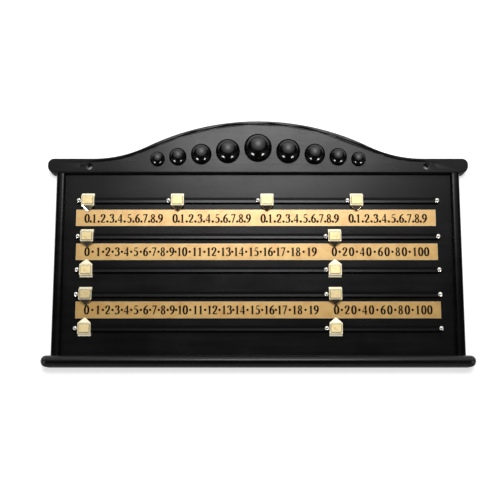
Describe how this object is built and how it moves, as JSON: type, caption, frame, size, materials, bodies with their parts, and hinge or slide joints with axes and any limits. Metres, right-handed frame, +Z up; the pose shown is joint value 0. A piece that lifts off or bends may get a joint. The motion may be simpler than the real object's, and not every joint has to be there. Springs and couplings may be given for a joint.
{
  "type": "billiard scoreboard",
  "caption": "Wall scoreboard for billiards and snooker: black board with an arched crest, half balls, brass number plates and brass pointers sliding on rails.",
  "frame": {"origin": "middle of the board's back face, on the line of the two wall-fixing holes", "axes": "+X along the rails to the right as seen from the front, +Z up, +Y into the wall; the front faces -Y"},
  "size_m": [0.7926, 0.0545, 0.4645],
  "materials": {
    "board_paint": "satin black lacquer on fibreboard",
    "ball_gloss": "polished black",
    "plate_brass": "brushed, with black printed numbers",
    "slider_brass": "cast and polished",
    "rail_black": "black satin",
    "rail_screw_nickel": "bright nickel plate",
    "rear_screw_zinc": "zinc plate"
  },
  "bodies": {
    "board": {"back_panel": "board_paint", "crest_board": "board_paint", "bottom_ledge": "board_paint", "side_moulding_left": "board_paint", "side_moulding_right": "board_paint", "half_ball_1": "ball_gloss", "half_ball_2": "ball_gloss", "half_ball_3": "ball_gloss", "half_ball_4": "ball_gloss", "half_ball_5": "ball_gloss", "half_ball_6": "ball_gloss", "half_ball_7": "ball_gloss", "half_ball_8": "ball_gloss", "half_ball_9": "ball_gloss", "number_plate_top": "plate_brass", "number_plate_middle": "plate_brass", "number_plate_bottom": "plate_brass", "rail_1": "rail_black", "rail_2": "rail_black", "rail_3": "rail_black", "rail_4": "rail_black", "rail_5": "rail_black", "rail_1_screw_1": "rail_screw_nickel", "rail_1_screw_2": "rail_screw_nickel", "rail_1_screw_3": "rail_screw_nickel", "rail_1_screw_4": "rail_screw_nickel", "rail_1_screw_5": "rail_screw_nickel", "rail_2_screw_1": "rail_screw_nickel", "rail_2_screw_2": "rail_screw_nickel", "rail_2_screw_3": "rail_screw_nickel", "rail_3_screw_1": "rail_screw_nickel", "rail_3_screw_2": "rail_screw_nickel", "rail_3_screw_3": "rail_screw_nickel", "rail_4_screw_1": "rail_screw_nickel", "rail_4_screw_2": "rail_screw_nickel", "rail_4_screw_3": "rail_screw_nickel", "rail_5_screw_1": "rail_screw_nickel", "rail_5_screw_2": "rail_screw_nickel", "rail_5_screw_3": "rail_screw_nickel", "crest_screw_1": "rear_screw_zinc", "crest_screw_2": "rear_screw_zinc", "crest_screw_3": "rear_screw_zinc", "crest_screw_4": "rear_screw_zinc", "ledge_screw_1": "rear_screw_zinc", "ledge_screw_2": "rear_screw_zinc", "ledge_screw_3": "rear_screw_zinc", "ledge_screw_4": "rear_screw_zinc"},
    "slider_1a": {"slider_1a": "slider_brass"},
    "slider_1b": {"slider_1b": "slider_brass"},
    "slider_1c": {"slider_1c": "slider_brass"},
    "slider_1d": {"slider_1d": "slider_brass"},
    "slider_2a": {"slider_2a": "slider_brass"},
    "slider_2b": {"slider_2b": "slider_brass"},
    "slider_3a": {"slider_3a": "slider_brass"},
    "slider_3b": {"slider_3b": "slider_brass"},
    "slider_4a": {"slider_4a": "slider_brass"},
    "slider_4b": {"slider_4b": "slider_brass"},
    "slider_5a": {"slider_5a": "slider_brass"},
    "slider_5b": {"slider_5b": "slider_brass"}
  },
  "joints": [
    {"name": "slide_1a", "type": "slide", "parent": "board", "child": "slider_1a", "axis": [1, 0, 0], "range_m": [0, 0.1345]},
    {"name": "slide_1b", "type": "slide", "parent": "board", "child": "slider_1b", "axis": [1, 0, 0], "range_m": [0, 0.1345]},
    {"name": "slide_1c", "type": "slide", "parent": "board", "child": "slider_1c", "axis": [1, 0, 0], "range_m": [0, 0.1345]},
    {"name": "slide_1d", "type": "slide", "parent": "board", "child": "slider_1d", "axis": [1, 0, 0], "range_m": [0, 0.1345]},
    {"name": "slide_2a", "type": "slide", "parent": "board", "child": "slider_2a", "axis": [1, 0, 0], "range_m": [0, 0.4285]},
    {"name": "slide_2b", "type": "slide", "parent": "board", "child": "slider_2b", "axis": [1, 0, 0], "range_m": [0, 0.1765]},
    {"name": "slide_3a", "type": "slide", "parent": "board", "child": "slider_3a", "axis": [1, 0, 0], "range_m": [0, 0.4285]},
    {"name": "slide_3b", "type": "slide", "parent": "board", "child": "slider_3b", "axis": [1, 0, 0], "range_m": [0, 0.1765]},
    {"name": "slide_4a", "type": "slide", "parent": "board", "child": "slider_4a", "axis": [1, 0, 0], "range_m": [0, 0.4285]},
    {"name": "slide_4b", "type": "slide", "parent": "board", "child": "slider_4b", "axis": [1, 0, 0], "range_m": [0, 0.1765]},
    {"name": "slide_5a", "type": "slide", "parent": "board", "child": "slider_5a", "axis": [1, 0, 0], "range_m": [0, 0.4285]},
    {"name": "slide_5b", "type": "slide", "parent": "board", "child": "slider_5b", "axis": [1, 0, 0], "range_m": [0, 0.1765]}
  ]
}
